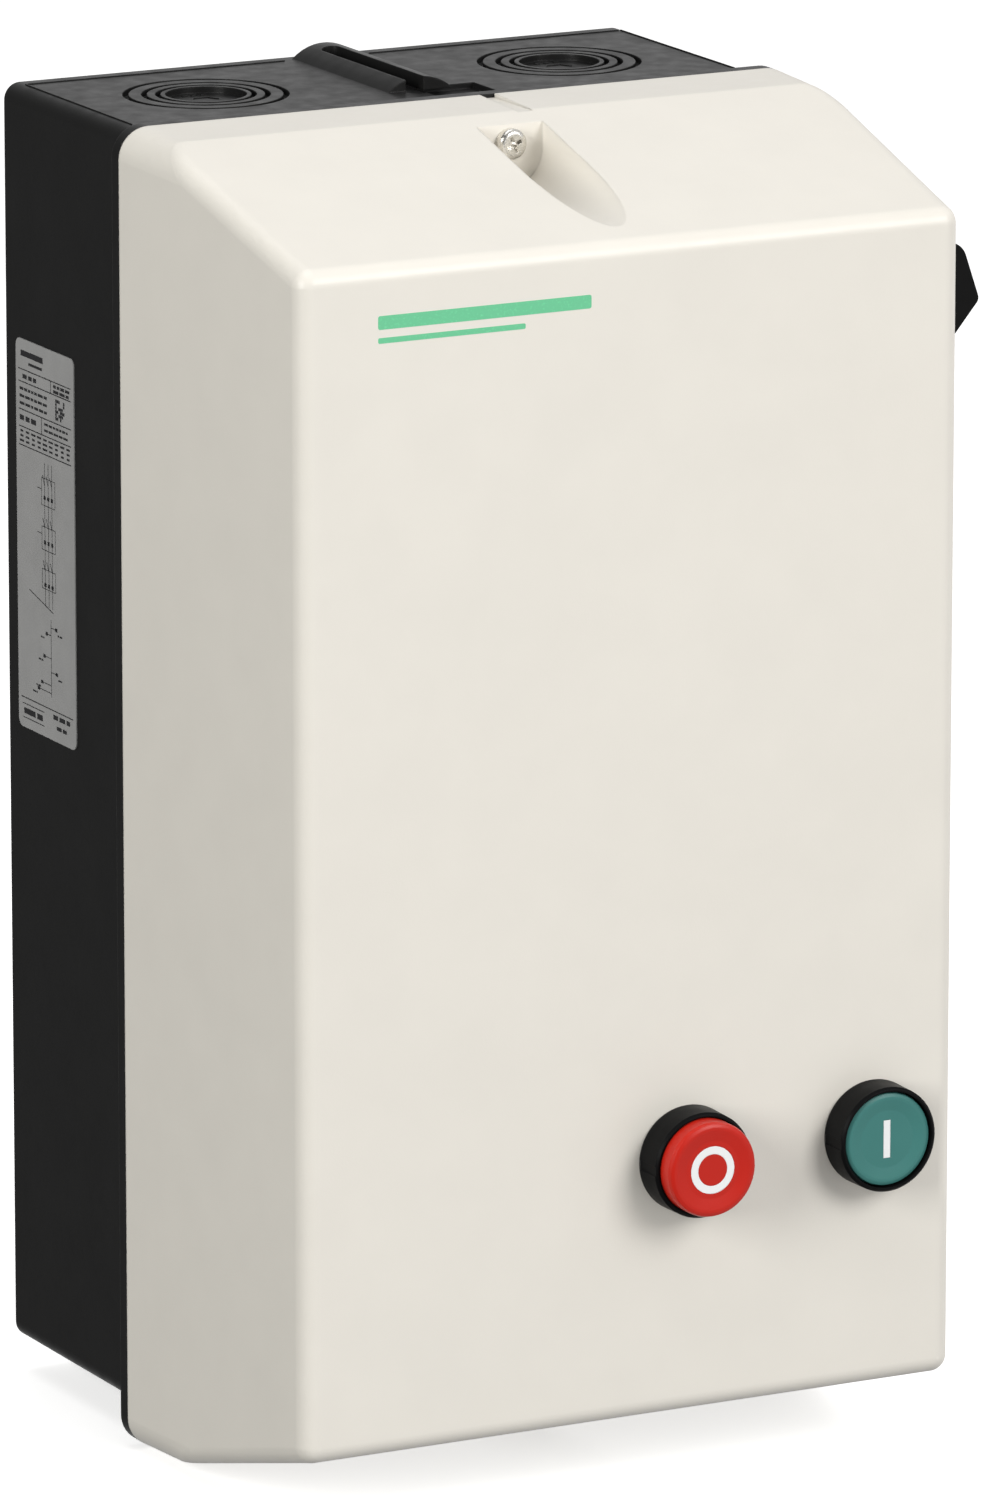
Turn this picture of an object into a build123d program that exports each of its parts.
from build123d import *
import math
import os

# Enclosed motor protection breaker with start and stop buttons, as one assembly of separate pieces.
# Frame: X right, Y into the wall, Z up. The wall is the plane Y = 0, the front faces -Y, and the origin is
# the centre of the four wall fixings. All sizes are in millimetres. A "depth" is a distance from the wall.

os.makedirs("parts", exist_ok=True)

# ---- driving dimensions -------------------------------------------------------------------------------
base_w, base_h, base_d = 177.0, 328.0, 75.0     # back box, outside
wall, floor_t = 2.6, 3.0
lip_w, lip_t = 189.0, 4.0                       # lip that carries the cover
lip_top, lip_bottom = 166.0, -172.0
rim_d = base_d + lip_t                          # depth of the joint between lip and cover
front_d = 171.7                                 # depth of the front face
skirt_d = rim_d + 19.6                          # depth where the top and bottom slopes begin
face_top, face_bottom = 145.1, -151.9           # upper and lower edge of the front face
side_draft = 3.4                                # how far each side wall leans in, rim to front
shell_t = 2.5

fix_x, fix_z, fix_r = 65.0, 140.0, 2.75         # wall fixings
knockout_x, knockout_d = 49.9, 36.7
knockout_rings = ((21.0, 1.6), (16.3, 1.5), (12.8, 1.4))   # outer radius and width of each groove
knockout_core_r = 10.3

cover_screw_z = 158.6                           # top and bottom screws, on the centre line
pocket_r, pocket_d = 9.2, 105.4                   # round floor of the screw pockets
pocket_top, pocket_bottom = 156.8, -163.2

stop_x, start_x, button_z = 15.2, 67.5, -87.0
button_travel = 3.5

handle_d, handle_z = 125.0, 104.6               # axis of the handle, parallel to X
pad_x = 93.6                                    # flat pad for the handle, on the right wall

contactor_x, contactor_z = -32.5, 5.0
rail_base_d, rail_h, rail_w, rail_t = 12.0, 7.5, 35.0, 1.0
coil_pull = 5.0

lip_mid = (lip_top + lip_bottom) / 2
lip_h = lip_top - lip_bottom


def save(part, name):
    part.label = name
    export_step(part, f"parts/{name}.step")


def front_plane(depth):
    """Plane at a depth from the wall: local x is X, local y is Z, and its normal faces the front."""
    return Plane.XZ.offset(depth)


def side_plane(x):
    """Plane at X = x: local x is Y, local y is Z, and its normal is +X."""
    return Plane.YZ.offset(x)


def spring(centre, axis, radius, length, turns, wire):
    """Open coil spring that starts at centre and runs along axis."""
    pitch = (length - wire) / turns
    start = Vector(*centre) + Vector(*axis) * (wire / 2)
    with BuildPart() as coil:
        with BuildLine() as path:
            Helix(pitch=pitch, height=pitch * turns, radius=radius, center=start, direction=axis)
        with BuildSketch(Plane(origin=path.line @ 0, z_dir=path.line % 0)):
            Circle(wire / 2)
        sweep(is_frenet=True)
    return coil.part


# ---- back box -----------------------------------------------------------------------------------------
rail_posts = [(-72.0, contactor_z), (60.0, contactor_z)]
bracket_posts = [(-13.0, 92.0), (-13.0, 117.0)]
earth_posts = [(-26.0, -128.0), (26.0, -128.0)]
earth_d = 11.0
gasket_t, gasket_h = 2.0, 2.0
gasket_w = 183.4
gasket_top, gasket_bottom = lip_top - 1.2, lip_bottom + 2.8
insert_r, insert_l = 3.2, 9.0
post_d = rim_d - gasket_h - 0.5

with BuildPart() as base_housing:
    with BuildSketch(Plane.XZ):
        RectangleRounded(base_w, base_h, 4.3)
    extrude(amount=base_d)
    with BuildSketch(front_plane(base_d)):
        with Locations((0, lip_mid)):
            RectangleRounded(lip_w, lip_h, 8.0)
    extrude(amount=lip_t)
    with BuildSketch(front_plane(floor_t)):
        RectangleRounded(base_w - 2 * wall, base_h - 2 * wall, 2.0)
    extrude(amount=rim_d, mode=Mode.SUBTRACT)

    # groove for the gasket, in the front of the lip
    with BuildSketch(front_plane(rim_d - gasket_h)):
        with Locations((0, (gasket_top + gasket_bottom) / 2)):
            RectangleRounded(gasket_w, gasket_top - gasket_bottom, 5.0)
            RectangleRounded(gasket_w - 2 * gasket_t, gasket_top - gasket_bottom - 2 * gasket_t, 3.0,
                             mode=Mode.SUBTRACT)
    extrude(amount=gasket_h, mode=Mode.SUBTRACT)

    # posts on the floor: wall fixings, rail, bracket and earth bar
    with BuildSketch(front_plane(floor_t)):
        with GridLocations(2 * fix_x, 2 * fix_z, 2, 2):
            Circle(8.0)
    extrude(amount=5.0)
    with BuildSketch(front_plane(floor_t)):
        with Locations(*rail_posts, *bracket_posts):
            Circle(5.0)
    extrude(amount=rail_base_d - floor_t)
    with BuildSketch(front_plane(floor_t)):
        with Locations(*earth_posts):
            Circle(4.5)
    extrude(amount=earth_d - floor_t)
    # posts for the cover screws, joined to the top and bottom walls
    with BuildSketch(front_plane(floor_t)):
        with Locations((0, cover_screw_z), (0, -cover_screw_z)):
            Circle(5.4)
    extrude(amount=post_d - floor_t)
    for side in (1, -1):
        with BuildSketch(front_plane(floor_t)):
            with Locations((0, side * (cover_screw_z + 2.5))):
                Rectangle(4.0, 3.0)
        extrude(amount=post_d - floor_t)

    # holes
    with BuildSketch(Plane.XZ):
        with GridLocations(2 * fix_x, 2 * fix_z, 2, 2):
            Circle(fix_r)
    extrude(amount=floor_t + 5.0, mode=Mode.SUBTRACT)
    with BuildSketch(front_plane(floor_t)):
        with Locations(*rail_posts, *bracket_posts, *earth_posts):
            Circle(1.6)
    extrude(amount=rail_base_d, mode=Mode.SUBTRACT)
    with BuildSketch(front_plane(post_d)):
        with Locations((0, cover_screw_z), (0, -cover_screw_z)):
            Circle(insert_r)
    extrude(amount=-insert_l, mode=Mode.SUBTRACT)
    with BuildSketch(front_plane(post_d)):
        with Locations((0, cover_screw_z), (0, -cover_screw_z)):
            Circle(2.3)
    extrude(amount=-20.0, mode=Mode.SUBTRACT)

    # knock-outs, two in the top wall and two in the bottom wall: grooves round a sunk disc, over a thin web
    for face_z, inward in ((base_h / 2, -1), (-base_h / 2, 1)):
        with BuildSketch(Plane.XY.offset(face_z)):
            with Locations((-knockout_x, -knockout_d), (knockout_x, -knockout_d)):
                for radius, width in knockout_rings:
                    Circle(radius)
                    Circle(radius - width, mode=Mode.SUBTRACT)
                Circle(knockout_core_r)
        extrude(amount=inward * 1.7, mode=Mode.SUBTRACT)

    # rounded rib on the top wall with an open channel, and the shallow recess beside it
    rib_w, rib_h, rib_back, rib_front = 19.0, 3.6, 2.8, 57.0
    with BuildSketch(front_plane(rib_back)):
        with BuildLine():
            foot_l, foot_r = (-rib_w / 2, base_h / 2 - 0.5), (rib_w / 2, base_h / 2 - 0.5)
            ThreePointArc(foot_l, (0, base_h / 2 + rib_h), foot_r)
            Line(foot_r, foot_l)
        make_face()
    extrude(amount=rib_front - rib_back)
    with BuildSketch(Plane.XY.offset(base_h / 2 - 0.4)):
        with Locations((-1.6, -(rib_front + 12.0) / 2)):
            SlotOverall(rib_front - 12.0 + 8.0, 5.0, rotation=90)
    extrude(amount=rib_h + 1.0, mode=Mode.SUBTRACT)
    with BuildSketch(Plane.XY.offset(base_h / 2)):
        with Locations((8.5, -(53.0 + 8.0))):
            Rectangle(17.0, 16.0)
    extrude(amount=-1.6, mode=Mode.SUBTRACT)
save(base_housing.part, "base_housing")

with BuildPart() as cover_gasket:
    slack = 0.05
    with BuildSketch(front_plane(rim_d - gasket_h)):
        with Locations((0, (gasket_top + gasket_bottom) / 2)):
            RectangleRounded(gasket_w - 2 * slack, gasket_top - gasket_bottom - 2 * slack, 5.0)
            RectangleRounded(gasket_w - 2 * gasket_t + 2 * slack,
                             gasket_top - gasket_bottom - 2 * gasket_t + 2 * slack, 3.0, mode=Mode.SUBTRACT)
    extrude(amount=gasket_h - slack)
save(cover_gasket.part, "cover_gasket")

with BuildPart() as cover_inserts:
    with BuildSketch(front_plane(post_d)):
        with Locations((0, cover_screw_z), (0, -cover_screw_z)):
            Circle(insert_r)
            Circle(2.05, mode=Mode.SUBTRACT)
    extrude(amount=-insert_l)
save(cover_inserts.part, "cover_inserts")

with BuildPart() as rating_label:
    with BuildSketch(side_plane(-base_w / 2)):
        with Locations((-23.0, 50.0)):
            RectangleRounded(33.8, 100.6, 2.2)
    extrude(amount=-0.3)
save(rating_label.part, "rating_label")


# ---- cover --------------------------------------------------------------------------------------------
def cover_block(inset, back_d, edge_r):
    """The cover's outer form, or with an inset the hollow inside it."""
    drop = (skirt_d - rim_d) / (front_d - rim_d) * side_draft
    front = front_d - inset
    with BuildPart() as block:
        with BuildSketch(front_plane(back_d)):
            with Locations((0, lip_mid)):
                RectangleRounded(lip_w - 2 * inset, lip_h - 2 * inset, 8.0 - inset)
        with BuildSketch(front_plane(front)):
            with Locations((0, lip_mid)):
                RectangleRounded(lip_w - 2 * (inset + side_draft), lip_h - 2 * (inset + side_draft), 7.0 - inset)
        loft()
        slope_start = skirt_d - inset * 0.15
        with BuildSketch(side_plane(0)):
            for edge, top, face in ((lip_top - drop, lip_top + 20, face_top),
                                    (lip_bottom + drop, lip_bottom - 20, face_bottom)):
                side = 1 if top > 0 else -1
                with BuildLine():
                    Polyline((-slope_start, edge - side * inset), (-front, face - side * inset * 0.75),
                             (-front - 30, face - side * (8.0 + inset)), (-front - 30, top),
                             (-slope_start, top), close=True)
                make_face()
        extrude(amount=lip_w, both=True, mode=Mode.SUBTRACT)
        front_face = block.faces().filter_by(Axis.Y).sort_by(Axis.Y)[0]
        slopes = [f for f in block.faces() if 0.2 < abs(f.normal_at().Z) < 0.99 and abs(f.normal_at().X) < 0.01]
        rims = set(front_face.edges())
        for face in slopes:
            rims.update(face.edges())
        if edge_r > 0:
            fillet(list(rims), edge_r)
    return block.part


def pocket(radius, back_d, length):
    """Groove along Y with a round floor, open towards the top or bottom edge: both screw pockets at once."""
    edge = 30.0
    with BuildPart() as grooves:
        with BuildSketch(front_plane(back_d)):
            for centre, side in ((pocket_top, 1), (pocket_bottom, -1)):
                with Locations((0, centre)):
                    Circle(radius)
                with Locations((0, centre + side * edge / 2)):
                    Rectangle(2 * radius, edge)
        extrude(amount=length)
    return grooves.part


with BuildPart() as cover_hollow:
    add(cover_block(shell_t, rim_d, 2.0))
    add(pocket(pocket_r + shell_t, pocket_d - shell_t, front_d), mode=Mode.SUBTRACT)

with BuildPart() as cover:
    add(cover_block(0, rim_d, 4.5))
    add(cover_hollow.part, mode=Mode.SUBTRACT)
    add(pocket(pocket_r, pocket_d, front_d), mode=Mode.SUBTRACT)
    # sleeves for the cover screws, from the end walls down to the posts of the back box
    with BuildSketch(front_plane(rim_d)):
        with Locations((0, cover_screw_z), (0, -cover_screw_z)):
            Circle(3.9)
    extrude(amount=pocket_d - rim_d - shell_t + 0.5)
    with BuildSketch(front_plane(rim_d)):
        with Locations((0, cover_screw_z), (0, -cover_screw_z)):
            Circle(2.2)
    extrude(amount=pocket_d - rim_d + 1.0, mode=Mode.SUBTRACT)
    # shallow groove on the top skirt that leads to the screw
    with BuildSketch(Plane.XY.offset(lip_top + 1.0)):
        with Locations((7.4, -(rim_d + 12.0))):
            SlotOverall(36.0, 4.2, rotation=90)
    extrude(amount=-2.0, mode=Mode.SUBTRACT)
    # flat pad on the right wall for the handle
    with BuildSketch(side_plane(pad_x - 4.0)):
        with Locations((-handle_d, handle_z)):
            Circle(26.0)
    extrude(amount=4.0)
    with BuildSketch(side_plane(pad_x)):
        with Locations((-handle_d, handle_z)):
            Circle(26.0)
    extrude(amount=4.0, mode=Mode.SUBTRACT)
    with BuildSketch(side_plane(pad_x - 5.0)):
        with Locations((-handle_d, handle_z)):
            Circle(8.2)
    extrude(amount=6.0, mode=Mode.SUBTRACT)
    # openings for the buttons
    with BuildSketch(front_plane(front_d - shell_t - 1.0)):
        with Locations((stop_x, button_z), (start_x, button_z)):
            Circle(11.15)
    extrude(amount=shell_t + 2.0, mode=Mode.SUBTRACT)
save(cover.part, "cover")

with BuildPart() as cover_screws:
    with BuildSketch(front_plane(pocket_d)):
        with Locations((0, cover_screw_z), (0, -cover_screw_z)):
            Circle(3.9)
    extrude(amount=2.7)
    fillet(cover_screws.faces().sort_by(Axis.Y)[0:2].edges(), 1.3)
    with BuildSketch(front_plane(pocket_d)):
        with Locations((0, cover_screw_z), (0, -cover_screw_z)):
            Circle(2.0)
    extrude(amount=-(pocket_d - post_d + insert_l + 4.0))
    with BuildSketch(front_plane(pocket_d + 1.0)):
        with Locations((0, cover_screw_z), (0, -cover_screw_z)):
            Rectangle(4.2, 0.9, rotation=25)
            Rectangle(0.9, 4.2, rotation=25)
    extrude(amount=3.0, mode=Mode.SUBTRACT)
save(cover_screws.part, "cover_screws")


# ---- mounting rails -----------------------------------------------------------------------------------
def hat_rail(start, length):
    """35 mm hat rail: local x of the plane is its height, local y its width, and it runs along the normal."""
    brim, web = rail_w / 2, rail_w / 2 - 5.0
    half = [(0, web + rail_t), (rail_h - rail_t, web + rail_t), (rail_h - rail_t, brim), (rail_h, brim),
            (rail_h, web), (rail_t, web)]
    outline = half + [(x, -y) for x, y in reversed(half)]
    with BuildPart() as rail:
        with BuildSketch(start):
            with BuildLine():
                Polyline(*outline, close=True)
            make_face()
        extrude(amount=length)
    return rail.part


def rail_claws(start, length):
    """Two hooks that grip the brims of a hat rail, on the same kind of plane as hat_rail."""
    brim, gap = rail_w / 2, 0.2
    with BuildPart() as claws:
        with BuildSketch(start):
            for side in (1, -1):
                with Locations((rail_h - 1.3, side * (brim + 1.6))):
                    Rectangle(3.0, 2.8)
                with Locations((rail_h - rail_t - gap - 0.8, side * (brim - 0.6))):
                    Rectangle(1.6, 2.4)
        extrude(amount=length)
    return claws.part


# plane across the contactor's rail, looking along -X, and plane across the breaker's rail, looking along -Y
rail_end = Plane(origin=(72.0, -rail_base_d, contactor_z), x_dir=(0, -1, 0), z_dir=(-1, 0, 0))
with BuildPart() as din_rail:
    add(hat_rail(rail_end, 156.0))
    with BuildSketch(front_plane(rail_base_d)):
        with Locations(*rail_posts):
            Circle(1.8)
    extrude(amount=3.0, both=True, mode=Mode.SUBTRACT)
save(din_rail.part, "din_rail")


def floor_screws(spots, head_at, tip_at, shank_r=1.5, head_r=3.2):
    """Slotted screws that face the front, with their heads standing on the depth head_at."""
    with BuildPart() as screws:
        with BuildSketch(front_plane(tip_at)):
            with Locations(*spots):
                Circle(shank_r)
        extrude(amount=head_at - tip_at)
        with BuildSketch(front_plane(head_at)):
            with Locations(*spots):
                Circle(head_r)
        extrude(amount=2.2)
        with BuildSketch(front_plane(head_at + 1.2)):
            with Locations(*spots):
                Rectangle(2 * head_r + 1, 0.8)
        extrude(amount=2.0, mode=Mode.SUBTRACT)
    return screws.part


plate_t, bracket_half = 2.0, 20.5
bracket_mid = handle_z
with BuildPart() as breaker_bracket:
    with BuildSketch(front_plane(rail_base_d)):
        with Locations((-12.0, bracket_mid)):
            Rectangle(28.0, 2 * bracket_half)
    extrude(amount=plate_t)
    with BuildSketch(front_plane(rail_base_d)):
        with Locations((plate_t / 2, bracket_mid)):
            Rectangle(plate_t, 2 * bracket_half)
    extrude(amount=149.0 - rail_base_d)
    for side in (1, -1):
        with BuildSketch(Plane.XY.offset(bracket_mid + side * (bracket_half - plate_t / 2))):
            with BuildLine():
                Polyline((0, -rail_base_d), (-20.0, -rail_base_d), (0, -50.0), close=True)
            make_face()
        extrude(amount=plate_t / 2, both=True)
    with BuildSketch(front_plane(rail_base_d)):
        with Locations(*bracket_posts):
            Circle(1.8)
    extrude(amount=6.0, both=True, mode=Mode.SUBTRACT)
    with BuildSketch(side_plane(0)):
        with Locations((-110.0, handle_z), (-140.0, handle_z)):
            Circle(1.8)
    extrude(amount=plate_t, mode=Mode.SUBTRACT)
save(breaker_bracket.part, "breaker_bracket")
with BuildPart() as mounting_screws:
    add(floor_screws(rail_posts, rail_base_d + rail_t, 5.0))
    add(floor_screws(bracket_posts, rail_base_d + plate_t, 5.0))
save(mounting_screws.part, "mounting_screws")

breaker_rail_start = Plane(origin=(plate_t, -103.5, handle_z), x_dir=(1, 0, 0), z_dir=(0, -1, 0))
with BuildPart() as breaker_rail:
    add(hat_rail(breaker_rail_start, 43.0))
    with BuildSketch(side_plane(plate_t)):
        with Locations((-110.0, handle_z), (-140.0, handle_z)):
            Circle(1.8)
    extrude(amount=3.0, mode=Mode.SUBTRACT)
save(breaker_rail.part, "breaker_rail")

with BuildPart() as breaker_rail_bolts:
    spots = ((-110.0, handle_z), (-140.0, handle_z))
    with BuildSketch(side_plane(-3.5)):
        with Locations(*spots):
            Circle(1.5)
    extrude(amount=3.5 + plate_t + rail_t)
    with BuildSketch(side_plane(plate_t + rail_t)):
        with Locations(*spots):
            Circle(2.9)
    extrude(amount=2.0)
    with BuildSketch(side_plane(0)):
        with Locations(*spots):
            RegularPolygon(3.2, 6)
            Circle(1.55, mode=Mode.SUBTRACT)
    extrude(amount=-2.4)
save(breaker_rail_bolts.part, "breaker_rail_bolts")

# ---- earth bar ----------------------------------------------------------------------------------------
earth_z = earth_posts[0][1]
clamp_spots = [(8.0 * i, earth_z) for i in range(-2, 3)]
with BuildPart() as earth_bar:
    with BuildSketch(front_plane(earth_d)):
        with Locations((0, earth_z)):
            Rectangle(64.0, 8.0)
        with Locations(*earth_posts, *clamp_spots):
            Circle(1.8, mode=Mode.SUBTRACT)
    extrude(amount=6.0)
    with BuildSketch(Plane.XY.offset(earth_z - 4.0)):
        with Locations(*[(x, -(earth_d + 3.0)) for x, _ in clamp_spots]):
            Circle(1.9)
    extrude(amount=8.0, mode=Mode.SUBTRACT)
save(earth_bar.part, "earth_bar")
with BuildPart() as earth_bar_screws:
    add(floor_screws(earth_posts, earth_d + 6.0, 5.0))
    add(floor_screws(clamp_spots, earth_d + 6.0, earth_d + 4.0, 1.7, 2.8))
save(earth_bar_screws.part, "earth_bar_screws")

# ---- contactor: case, magnet, contacts ----------------------------------------------------------------
case_w, case_h = 45.0, 76.0
case_back = rail_base_d + rail_h + 0.2
case_split, terminal_front, case_front = 55.0, 84.0, 95.0
pole_pitch = 13.0
poles = [contactor_x + i * pole_pitch for i in (-1, 0, 1)]
terminal_z = 31.5
core_half = 7.0                                  # half the thickness of the laminated cores
contactor_mid = (contactor_x, contactor_z)

with BuildPart() as contactor_base:
    with BuildSketch(front_plane(case_back)):
        with Locations(contactor_mid):
            Rectangle(case_w, case_h)
    extrude(amount=case_split - case_back)
    with BuildSketch(front_plane(23.0)):
        with Locations(contactor_mid):
            Rectangle(case_w - 6.0, case_h - 6.0)
    extrude(amount=case_split, mode=Mode.SUBTRACT)
    fillet(contactor_base.edges().filter_by(Axis.Y).group_by(Axis.X)[0], 1.0)
    claw_plane = Plane(origin=(contactor_x + case_w / 2, -rail_base_d, contactor_z), x_dir=(0, -1, 0),
                       z_dir=(-1, 0, 0))
    add(rail_claws(claw_plane, case_w))
save(contactor_base.part, "contactor_base")


def e_core(back_d, plate, leg_front, legs_forward):
    """Laminated E core with legs towards the front or towards the wall."""
    sign = 1 if legs_forward else -1
    leg = abs(leg_front - back_d)
    with BuildPart() as core:
        with BuildSketch(side_plane(contactor_x - core_half)):
            with Locations((-(back_d + sign * plate / 2), contactor_z)):
                Rectangle(plate, 50.0)
            for z, width in ((-20.25, 9.5), (0, 10.0), (20.25, 9.5)):
                with Locations((-(back_d + sign * leg / 2), contactor_z + z)):
                    Rectangle(leg, width)
        extrude(amount=2 * core_half)
    return core.part


core_face = 45.0
armature_face = core_face + coil_pull + 0.2
save(e_core(23.4, 7.5, core_face, True), "contactor_fixed_core")
save(e_core(armature_face + 12.0, 6.0, armature_face, False), "contactor_armature")

bobbin_back, bobbin_front = 31.3, 44.3
with BuildPart() as contactor_bobbin:
    with BuildSketch(front_plane(bobbin_back)):
        with Locations(contactor_mid):
            Rectangle(17.2, 12.8)
    extrude(amount=bobbin_front - bobbin_back)
    for depth in (bobbin_back, bobbin_front - 1.0):
        with BuildSketch(front_plane(depth)):
            with Locations(contactor_mid):
                Rectangle(31.0, 29.6)
        extrude(amount=1.0)
    with BuildSketch(front_plane(bobbin_back)):
        with Locations(contactor_mid):
            Rectangle(14.6, 10.4)
    extrude(amount=20.0, mode=Mode.SUBTRACT)
save(contactor_bobbin.part, "contactor_bobbin")
with BuildPart() as contactor_winding:
    with BuildSketch(front_plane(bobbin_back + 1.0)):
        with Locations(contactor_mid):
            RectangleRounded(28.6, 27.6, 4.0)
            Rectangle(17.2, 12.8, mode=Mode.SUBTRACT)
    extrude(amount=bobbin_front - bobbin_back - 2.0)
save(contactor_winding.part, "contactor_winding")

fixed_bar_d, bridge_d, window_front = 72.6, 81.4, 88.0
carrier_back = armature_face + 12.0
with BuildPart() as contactor_carrier:
    for depth, width, height, end in ((carrier_back, 24.0, 52.0, 68.0), (carrier_back, 34.0, 7.0, 90.0),
                                      (90.0, 9.0, 7.0, case_front + 2.0)):
        with BuildSketch(front_plane(depth)):
            with Locations(contactor_mid):
                Rectangle(width, height)
        extrude(amount=end - depth)
    with BuildSketch(front_plane(bridge_d)):
        with Locations(*[(x, contactor_z) for x in poles]):
            Rectangle(5.2, 12.0)
    extrude(amount=window_front - bridge_d, mode=Mode.SUBTRACT)
save(contactor_carrier.part, "contactor_carrier")

with BuildPart() as contactor_moving_contacts:
    with BuildSketch(front_plane(bridge_d)):
        with Locations(*[(x, contactor_z) for x in poles]):
            Rectangle(4.6, 36.0)
    extrude(amount=1.4)
    with BuildSketch(front_plane(bridge_d)):
        with Locations(*[(x, contactor_z + z) for x in poles for z in (-15.0, 15.0)]):
            Circle(1.9)
    extrude(amount=-1.2)
save(contactor_moving_contacts.part, "contactor_moving_contacts")

with BuildPart() as contactor_fixed_contacts:
    with BuildSketch(front_plane(fixed_bar_d)):
        with Locations(*[(x, contactor_z + z) for x in poles for z in (-24.5, 24.5)]):
            Rectangle(6.4, 23.0)
        with Locations(*[(x, contactor_z + z) for x in poles for z in (-terminal_z, terminal_z)]):
            Circle(2.0, mode=Mode.SUBTRACT)
    extrude(amount=1.4)
    with BuildSketch(front_plane(fixed_bar_d + 1.4)):
        with Locations(*[(x, contactor_z + z) for x in poles for z in (-15.0, 15.0)]):
            Circle(1.9)
    extrude(amount=1.0)
save(contactor_fixed_contacts.part, "contactor_fixed_contacts")

terminal_spots = [(x, contactor_z + z) for x in poles for z in (-terminal_z, terminal_z)]
with BuildPart() as contactor_terminal_screws:
    add(floor_screws(terminal_spots, 77.0, 70.5, 1.9, 2.9))
    with BuildSketch(front_plane(76.0)):
        with Locations(*terminal_spots):
            Rectangle(7.0, 7.0)
    extrude(amount=1.0)
save(contactor_terminal_screws.part, "contactor_terminal_screws")

with BuildPart() as contactor_front:
    for height, end in ((case_h, terminal_front), (46.0, case_front)):
        with BuildSketch(front_plane(case_split)):
            with Locations(contactor_mid):
                Rectangle(case_w, height)
        extrude(amount=end - case_split)
    fillet(contactor_front.edges().filter_by(Axis.X), 0.8)
    for height, end in ((case_h - 4.0, terminal_front - 2.0), (42.0, case_front - 2.0)):
        with BuildSketch(front_plane(case_split)):
            with Locations(contactor_mid):
                Rectangle(case_w - 4.0, height)
        extrude(amount=end - case_split, mode=Mode.SUBTRACT)
    # ribs between the poles, clear of the contact carrier
    with BuildSketch(front_plane(terminal_front - 13.0)):
        with Locations(*[(contactor_x + x, contactor_z + z) for x in (-6.5, 6.5) for z in (-28.0, 28.0)]):
            Rectangle(1.2, 17.0)
    extrude(amount=12.0)
    with BuildSketch(front_plane(terminal_front - 4.0)):
        with Locations(*terminal_spots):
            Circle(3.2)
    extrude(amount=6.0, mode=Mode.SUBTRACT)
    with BuildSketch(front_plane(case_front - 4.0)):
        with Locations(contactor_mid):
            Rectangle(9.6, 7.6)
    extrude(amount=6.0, mode=Mode.SUBTRACT)
    with BuildSketch(Plane.XY.offset(contactor_z)):
        with Locations(*[(x, -78.0) for x in poles]):
            Rectangle(8.4, 7.0)
    extrude(amount=case_h, both=True, mode=Mode.SUBTRACT)
save(contactor_front.part, "contactor_front")

save(spring((contactor_x, -(bobbin_front + 0.2), contactor_z), (0, -1, 0), 9.4, armature_face + 6.0
            - bobbin_front - 0.4, 3.0, 0.9), "contactor_return_spring")


# ---- motor circuit breaker, lying on its side so that its rotor faces the right wall ------------------
breaker_back = plate_t + rail_h + 0.2
breaker_face, plate_face, nose_face = 70.0, 73.0, 78.0
breaker_w, breaker_h = 45.0, 84.0
pole_d = [handle_d + i * 14.0 for i in (-1, 0, 1)]
clamp_z = 36.0
rotor_r, rotor_face = 10.0, 82.5
blade_t, blade_half = 3.0, 8.0
breaker_clamps = [(-d, handle_z + z) for d in pole_d for z in (-clamp_z, clamp_z)]
breaker_mid = (-handle_d, handle_z)

with BuildPart() as breaker_body:
    with BuildSketch(side_plane(breaker_back)):
        with Locations(breaker_mid):
            Rectangle(breaker_w, breaker_h)
    extrude(amount=breaker_face - breaker_back)
    fillet(breaker_body.edges().filter_by(Axis.X), 1.0)
    with BuildSketch(side_plane(13.0)):
        with Locations(breaker_mid):
            Rectangle(breaker_w - 4.0, 63.0)
    extrude(amount=breaker_face, mode=Mode.SUBTRACT)
    with BuildSketch(side_plane(48.0)):
        with Locations(*[(-d, handle_z + z) for d in pole_d for z in (-35.0, 35.0)]):
            Rectangle(10.0, 9.0)
    extrude(amount=18.0, mode=Mode.SUBTRACT)
    with BuildSketch(side_plane(60.0)):
        with Locations(*breaker_clamps):
            Circle(3.2)
    extrude(amount=12.0, mode=Mode.SUBTRACT)
    with BuildSketch(Plane.XY.offset(handle_z)):
        with Locations(*[(57.5, -d) for d in pole_d]):
            Circle(3.4)
    extrude(amount=breaker_h, both=True, mode=Mode.SUBTRACT)
    breaker_claw_plane = Plane(origin=(plate_t, -104.0, handle_z), x_dir=(1, 0, 0), z_dir=(0, -1, 0))
    add(rail_claws(breaker_claw_plane, breaker_w - 3.0))
save(breaker_body.part, "breaker_body")

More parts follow.
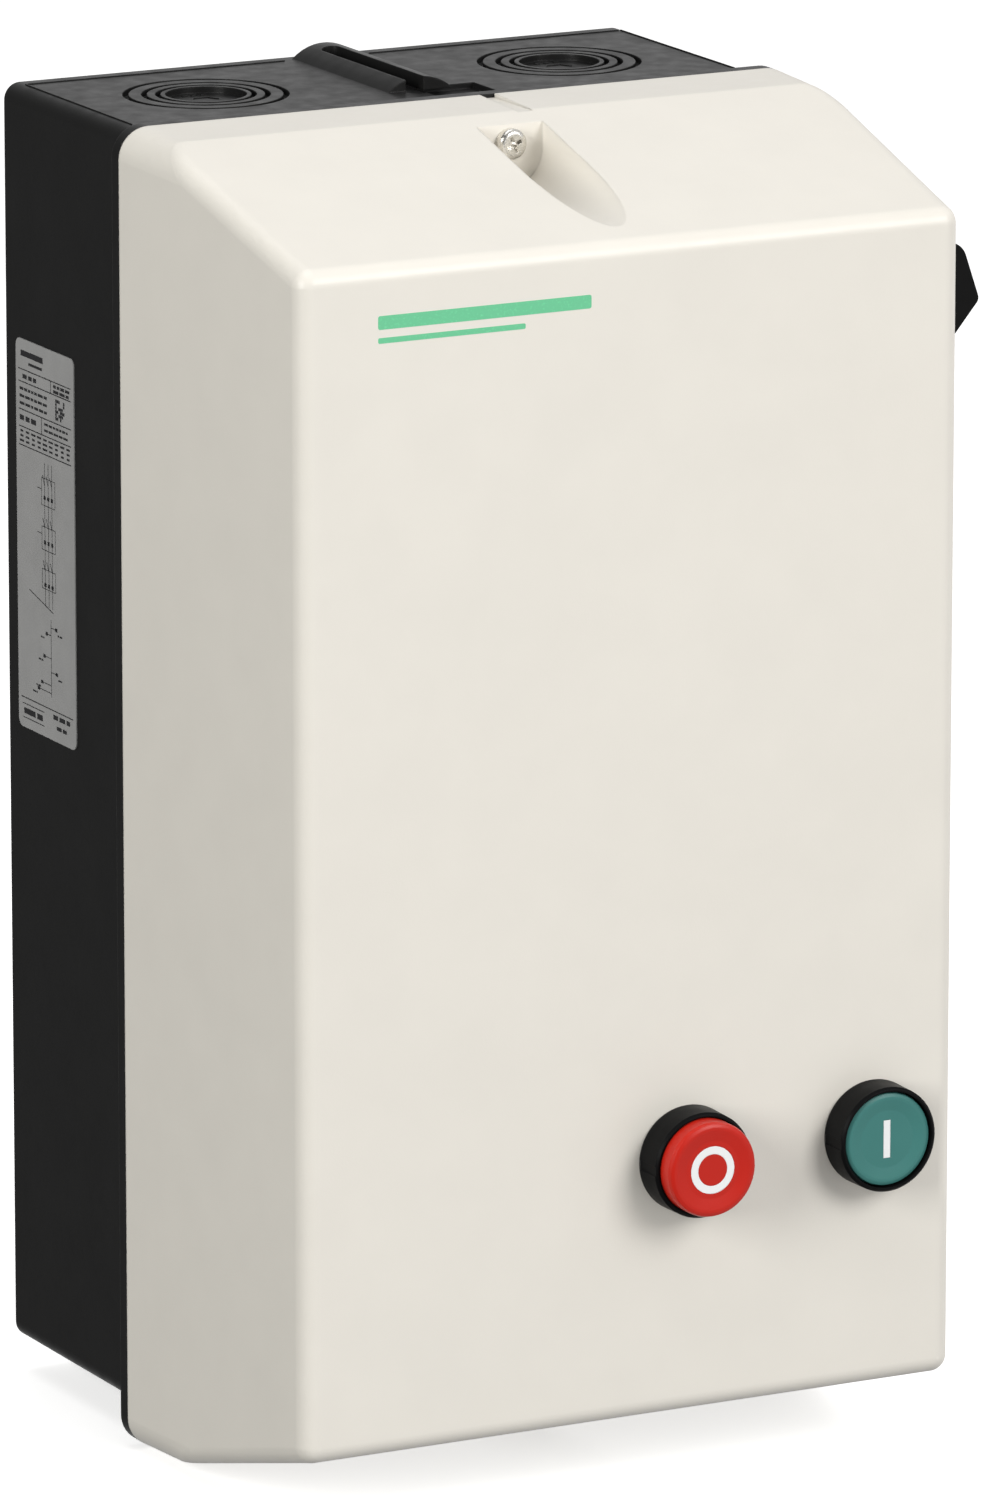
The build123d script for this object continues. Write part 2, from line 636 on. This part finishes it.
dial_z = handle_z - 14.4
with BuildPart() as breaker_front:
    with BuildSketch(side_plane(breaker_face)):
        with Locations(breaker_mid):
            Rectangle(breaker_w, 62.0)
    extrude(amount=plate_face - breaker_face)
    with BuildSketch(side_plane(plate_face)):
        with Locations(breaker_mid):
            RectangleRounded(breaker_w, 42.0, 2.0)
    extrude(amount=nose_face - plate_face)
    fillet(breaker_front.faces().sort_by(Axis.X)[-1].edges(), 0.8)
    with BuildSketch(side_plane(plate_face)):
        with Locations(breaker_mid):
            Circle(rotor_r + 0.05)
    extrude(amount=10.0, mode=Mode.SUBTRACT)
    with BuildSketch(side_plane(breaker_face)):
        with Locations(breaker_mid):
            Circle(4.05)
    extrude(amount=5.0, mode=Mode.SUBTRACT)
    with BuildSketch(side_plane(nose_face - 3.0)):
        with Locations((-handle_d, dial_z)):
            Circle(1.85)
    extrude(amount=5.0, mode=Mode.SUBTRACT)
    with BuildSketch(side_plane(nose_face)):
        with Locations(*breaker_clamps):
            Circle(3.2)
    extrude(amount=-12.0, mode=Mode.SUBTRACT)
save(breaker_front.part, "breaker_front")

with BuildPart() as breaker_rotor:
    with BuildSketch(side_plane(63.6)):
        with Locations(breaker_mid):
            Circle(4.0)
    extrude(amount=plate_face - 63.6 + 0.3)
    with BuildSketch(side_plane(plate_face + 0.3)):
        with Locations(breaker_mid):
            Circle(rotor_r)
    extrude(amount=rotor_face - plate_face - 0.3)
    with BuildSketch(side_plane(nose_face + 1.0)):
        with Locations(breaker_mid):
            Rectangle(3 * rotor_r, blade_t + 0.2)
    extrude(amount=10.0, mode=Mode.SUBTRACT)
save(breaker_rotor.part, "breaker_rotor")

with BuildPart() as breaker_dial:
    with BuildSketch(side_plane(nose_face - 2.8)):
        with Locations((-handle_d, dial_z)):
            Circle(1.8)
    extrude(amount=3.0)
    with BuildSketch(side_plane(nose_face + 0.1)):
        with Locations((-handle_d, dial_z)):
            Circle(3.7)
    extrude(amount=1.6)
    with BuildSketch(side_plane(nose_face + 1.0)):
        with Locations((-handle_d, dial_z)):
            Rectangle(9.0, 0.8)
    extrude(amount=1.0, mode=Mode.SUBTRACT)
save(breaker_dial.part, "breaker_dial")

breaker_bar_x, breaker_gap = 50.0, 4.0
with BuildPart() as breaker_fixed_contacts:
    with BuildSketch(side_plane(breaker_bar_x)):
        with Locations(*[(-d, handle_z + z) for d in pole_d for z in (-27.5, 27.5)]):
            Rectangle(8.0, 22.0)
        with Locations(*breaker_clamps):
            Circle(2.0, mode=Mode.SUBTRACT)
    extrude(amount=1.4)
    with BuildSketch(side_plane(breaker_bar_x + 1.4)):
        with Locations(*[(-d, handle_z + z) for d in pole_d for z in (-18.5, 18.5)]):
            Circle(2.0)
    extrude(amount=1.0)
save(breaker_fixed_contacts.part, "breaker_fixed_contacts")

tip_x = breaker_bar_x + 2.4 + breaker_gap
with BuildPart() as breaker_moving_contacts:
    with BuildSketch(side_plane(tip_x)):
        with Locations(*[(-d, handle_z + z) for d in pole_d for z in (-18.5, 18.5)]):
            Circle(2.0)
    extrude(amount=1.0)
    with BuildSketch(side_plane(tip_x + 1.0)):
        with Locations(*[(-d, handle_z) for d in pole_d]):
            Rectangle(5.0, 42.0)
    extrude(amount=1.4)
save(breaker_moving_contacts.part, "breaker_moving_contacts")
with BuildPart() as breaker_contact_bar:
    with BuildSketch(side_plane(tip_x + 2.4)):
        with Locations(breaker_mid):
            Rectangle(38.0, 7.0)
    extrude(amount=3.8)
save(breaker_contact_bar.part, "breaker_contact_bar")

with BuildPart() as breaker_terminal_screws:
    with BuildSketch(side_plane(breaker_bar_x - 1.6)):
        with Locations(*breaker_clamps):
            Circle(1.9)
    extrude(amount=6.0)
    with BuildSketch(side_plane(breaker_bar_x + 3.4)):
        with Locations(*breaker_clamps):
            Rectangle(7.6, 6.6)
    extrude(amount=1.0)
    with BuildSketch(side_plane(breaker_bar_x + 4.4)):
        with Locations(*breaker_clamps):
            Circle(2.9)
    extrude(amount=2.4)
    with BuildSketch(side_plane(breaker_bar_x + 5.8)):
        with Locations(*breaker_clamps):
            Rectangle(8.0, 0.8)
    extrude(amount=3.0, mode=Mode.SUBTRACT)
save(breaker_terminal_screws.part, "breaker_terminal_screws")

trip_z, bimetal_z = handle_z + 12.0, handle_z - 26.0
with BuildPart() as breaker_trip_coils:
    with BuildSketch(side_plane(13.0)):
        with Locations(*[(-d, trip_z) for d in pole_d]):
            Circle(5.4)
            Circle(3.0, mode=Mode.SUBTRACT)
    extrude(amount=17.0)
save(breaker_trip_coils.part, "breaker_trip_coils")
with BuildPart() as breaker_trip_cores:
    with BuildSketch(side_plane(13.0)):
        with Locations(*[(-d, trip_z) for d in pole_d]):
            Circle(2.9)
    extrude(amount=21.0)
save(breaker_trip_cores.part, "breaker_trip_cores")
with BuildPart() as breaker_bimetals:
    for height, reach in ((1.4, 20.0), (26.0, 1.2)):
        with BuildSketch(Plane.XY.offset(bimetal_z)):
            with Locations(*[(33.0 - reach / 2, -d) for d in pole_d]):
                Rectangle(reach, 8.0)
        extrude(amount=height)
save(breaker_bimetals.part, "breaker_bimetals")


# ---- push buttons -------------------------------------------------------------------------------------
bezel_r, bezel_face = 13.6, 180.7
seal_t = 0.6
cap_r, cap_back = 12.1, 177.4
barrel_r, barrel_end = 11.0, 148.0
block_back, block_w, block_h = 118.0, 26.0, 34.0
stem_end = 143.6
stop_face, start_face = 185.7, 180.2
symbol_t = 0.6


def turned(profile, x):
    """Piece turned about a button's axis, from its (radius, depth) outline."""
    with BuildPart() as piece:
        with BuildSketch(Plane(origin=(x, 0, button_z), x_dir=(1, 0, 0), z_dir=(0, 0, 1))):
            with BuildLine():
                Polyline(*[(r, -depth) for r, depth in profile], close=True)
            make_face()
        revolve(axis=Axis((x, 0, button_z), (0, 1, 0)))
    return piece.part


def stop_symbol(x):
    """Outline of a ring, the off symbol."""
    with Locations((x, button_z)):
        Circle(6.05)
        Circle(4.05, mode=Mode.SUBTRACT)


def start_symbol(x):
    """Outline of an upright bar, the on symbol."""
    with Locations((x, button_z)):
        Rectangle(1.9, 9.7)


def make_button(name, x, cap_face, symbol, closed_at_rest):
    seat = front_d + seal_t
    bezel_outline = [(bezel_r, seat), (bezel_r - 0.15, bezel_face - 0.6), (bezel_r - 0.75, bezel_face),
                     (cap_r + 0.25, bezel_face), (cap_r + 0.25, seat + 0.7), (5.3, seat + 0.7),
                     (5.3, 170.0), (barrel_r - 1.4, 170.0), (barrel_r - 1.4, barrel_end),
                     (barrel_r, barrel_end), (barrel_r, seat)]
    with BuildPart() as bezel:
        add(turned(bezel_outline, x))
        with BuildSketch(front_plane(seat)):
            with Locations((x - bezel_r, button_z)):
                Rectangle(0.7, 2.4)
        extrude(amount=12.0, mode=Mode.SUBTRACT)
    save(bezel.part, name + "_bezel")

    dish = 0.5
    with BuildPart() as cap:
        add(turned([(0, cap_back), (cap_r, cap_back), (cap_r, cap_face - 1.2), (cap_r - 0.35, cap_face - 0.35),
                    (cap_r - 1.2, cap_face), (cap_r - 1.9, cap_face), (7.4, cap_face - dish),
                    (0, cap_face - dish)], x))
        with BuildSketch(front_plane(cap_face - dish)):
            symbol(x)
        extrude(amount=-symbol_t, mode=Mode.SUBTRACT)
    save(cap.part, name + "_cap")
    with BuildPart() as inlay:
        with BuildSketch(front_plane(cap_face - dish - symbol_t)):
            symbol(x)
        extrude(amount=symbol_t + 0.03)
    save(inlay.part, name + "_symbol")

    save(turned([(0, cap_back), (5.0, cap_back), (5.0, 169.7), (9.2, 169.7), (9.2, 167.7), (3.0, 167.7),
                 (3.0, stem_end), (0, stem_end)], x), name + "_stem")
    save(spring((x, -(167.7 - 0.3), button_z), (0, 1, 0), 6.5, 167.7 - barrel_end - 0.6, 5.0, 0.8),
         name + "_spring")

    bridge_at = 136.2
    bar_at = 138.6 if closed_at_rest else 130.2
    pad_at = bar_at - 1.0 if closed_at_rest else bar_at + 1.2
    screw_spots = [(x, button_z + z) for z in (-12.0, 12.0)]
    with BuildPart() as block:
        with BuildSketch(front_plane(block_back)):
            with Locations((x, button_z)):
                Rectangle(block_w, block_h)
        extrude(amount=barrel_end - block_back)
        fillet(block.edges().filter_by(Axis.Y), 1.5)
        with BuildSketch(front_plane(block_back + 2.0)):
            with Locations((x, button_z)):
                Rectangle(block_w - 4.0, block_h - 4.0)
        extrude(amount=barrel_end - block_back - 4.0, mode=Mode.SUBTRACT)
        with BuildSketch(front_plane(barrel_end - 3.0)):
            with Locations((x, button_z)):
                Circle(3.3)
        extrude(amount=5.0, mode=Mode.SUBTRACT)
        with BuildSketch(front_plane(block_back - 1.0)):
            with Locations(*screw_spots):
                Circle(3.1)
        extrude(amount=4.0, mode=Mode.SUBTRACT)
        with BuildSketch(Plane.XY.offset(button_z)):
            with Locations((x, -126.0)):
                Rectangle(8.0, 6.0)
        extrude(amount=block_h, both=True, mode=Mode.SUBTRACT)
    save(block.part, name + "_contact_block")

    with BuildPart() as bridge:
        with BuildSketch(front_plane(bridge_at)):
            with Locations((x, button_z)):
                Rectangle(5.0, 17.4)
        extrude(amount=1.2)
        with BuildSketch(front_plane(bridge_at + 1.2)):
            with Locations((x, button_z)):
                Circle(2.8)
        extrude(amount=stem_end - bridge_at - 1.2)
    save(bridge.part, name + "_moving_contact")

    with BuildPart() as fixed:
        with BuildSketch(front_plane(bar_at)):
            with Locations((x, button_z - 9.9), (x, button_z + 9.9)):
                Rectangle(6.0, 10.0)
            with Locations(*screw_spots):
                Circle(1.7, mode=Mode.SUBTRACT)
        extrude(amount=1.2)
        with BuildSketch(front_plane(pad_at)):
            with Locations((x, button_z - 7.1), (x, button_z + 7.1)):
                Circle(1.4)
        extrude(amount=1.0)
    save(fixed.part, name + "_fixed_contacts")
    return block_screws(screw_spots, bar_at)


def block_screws(spots, bar_at):
    """Terminal screws of a contact block: their heads face the wall."""
    with BuildPart() as screws:
        with BuildSketch(front_plane(bar_at - 3.0)):
            with Locations(*spots):
                Circle(2.8)
        extrude(amount=2.2)
        with BuildSketch(front_plane(bar_at - 0.8)):
            with Locations(*spots):
                Circle(1.6)
        extrude(amount=4.0)
        with BuildSketch(front_plane(bar_at - 4.0)):
            with Locations(*spots):
                Rectangle(7.0, 0.8)
        extrude(amount=1.9, mode=Mode.SUBTRACT)
    return screws.part


stop_screws = make_button("stop", stop_x, stop_face, stop_symbol, closed_at_rest=True)
start_screws = make_button("start", start_x, start_face, start_symbol, closed_at_rest=False)
with BuildPart() as button_terminal_screws:
    add(stop_screws)
    add(start_screws)
save(button_terminal_screws.part, "button_terminal_screws")

button_spots = [(stop_x, button_z), (start_x, button_z)]
with BuildPart() as button_seals:
    with BuildSketch(front_plane(front_d)):
        with Locations(*button_spots):
            Circle(bezel_r - 0.2)
            Circle(barrel_r + 0.2, mode=Mode.SUBTRACT)
    extrude(amount=seal_t)
save(button_seals.part, "button_seals")
with BuildPart() as button_collars:
    with BuildSketch(front_plane(barrel_end)):
        with Locations(*button_spots):
            RectangleRounded(30.0, 30.0, 3.0)
            Circle(barrel_r + 0.1, mode=Mode.SUBTRACT)
    extrude(amount=front_d - shell_t - barrel_end)
save(button_collars.part, "button_collars")

# ---- rotary handle on the right wall ------------------------------------------------------------------
gasket_face = pad_x + 0.8
plate_r, plate_outer = 24.0, gasket_face + 3.0
grip_base, grip_top = plate_outer + 0.3, 101.8
grip_r, grip_half = 23.6, 6.5
ridge_tip, ridge_crest = (119.2, handle_z + 8.4), (114.0, handle_z + grip_r)
shaft_r, square, square_l = 6.0, 7.9, 7.3

with BuildPart() as handle_seal:
    with BuildSketch(side_plane(pad_x)):
        with Locations(breaker_mid):
            Circle(plate_r - 1.0)
            Circle(8.4, mode=Mode.SUBTRACT)
    extrude(amount=gasket_face - pad_x)
save(handle_seal.part, "handle_seal")

with BuildPart() as handle_escutcheon:
    with BuildSketch(side_plane(gasket_face)):
        with Locations(breaker_mid):
            Circle(plate_r)
    extrude(amount=plate_outer - gasket_face)
    fillet(handle_escutcheon.faces().sort_by(Axis.X)[-1].edges(), 0.8)
    with BuildSketch(side_plane(84.6)):
        with Locations(breaker_mid):
            Circle(8.0)
    extrude(amount=gasket_face - 84.6)
    with BuildSketch(side_plane(84.0)):
        with Locations(breaker_mid):
            Circle(shaft_r + 0.05)
    extrude(amount=20.0, mode=Mode.SUBTRACT)
save(handle_escutcheon.part, "handle_escutcheon")

with BuildPart() as handle_nut:
    with BuildSketch(side_plane(pad_x - 4.0)):
        with Locations(breaker_mid):
            RegularPolygon(13.0, 6)
            Circle(8.05, mode=Mode.SUBTRACT)
    extrude(amount=-4.0)
save(handle_nut.part, "handle_nut")

with BuildPart() as handle_grip:
    with BuildSketch(side_plane(grip_base)):
        with Locations(breaker_mid):
            Circle(grip_r)
    extrude(amount=grip_top - grip_base)
    fillet(handle_grip.faces().sort_by(Axis.X)[-1].edges(), 1.5)
    with BuildSketch(Plane.XZ.offset(handle_d - grip_half)):
        with BuildLine():
            Polyline((grip_top - 3.0, handle_z - 16.0), ridge_tip, ridge_crest,
                     (grip_top - 3.0, handle_z + grip_r), close=True)
        make_face()
    extrude(amount=2 * grip_half)
    crest, tip = handle_grip.edges().filter_by(Axis.Y).sort_by(Axis.X)[-2:]
    fillet(tip, 2.0)
    fillet(crest, 5.5)
    with BuildSketch(side_plane(grip_base)):
        with Locations(breaker_mid):
            Rectangle(square + 0.1, square + 0.1)
    extrude(amount=square_l + 0.2, mode=Mode.SUBTRACT)
save(handle_grip.part, "handle_grip")

with BuildPart() as handle_shaft:
    with BuildSketch(side_plane(rotor_face + 0.9)):
        with Locations(breaker_mid):
            Circle(shaft_r)
    extrude(amount=grip_base - rotor_face - 0.9)
    with BuildSketch(side_plane(grip_base)):
        with Locations(breaker_mid):
            Rectangle(square, square)
    extrude(amount=square_l)
    with BuildSketch(side_plane(nose_face + 1.4)):
        with Locations(breaker_mid):
            Rectangle(2 * blade_half, blade_t)
    extrude(amount=rotor_face + 0.9 - nose_face - 1.4)
save(handle_shaft.part, "handle_shaft")

# ---- three insulated links from the breaker's lower clamps to the contactor's upper clamps ------------
wire_r, bend_r = 1.5, 6.5
link_levels = (58.0, 54.0, 50.0)
links = []
for depth, x, level in zip(pole_d, poles, link_levels):
    clamp_x, clamp_d, entry_z = 57.5, 78.0, contactor_z + case_h / 2
    with BuildPart() as link:
        with BuildLine() as route:
            FilletPolyline((clamp_x, -depth, 65.0), (clamp_x, -depth, level), (x, -clamp_d, level),
                           (x, -clamp_d, entry_z - 1.6), radius=bend_r)
        with BuildSketch(Plane(origin=route.line @ 0, z_dir=route.line % 0)):
            Circle(wire_r)
        sweep()
    links.append(link.part)
with BuildPart() as link_wires:
    add(links)
save(link_wires.part, "link_wires")
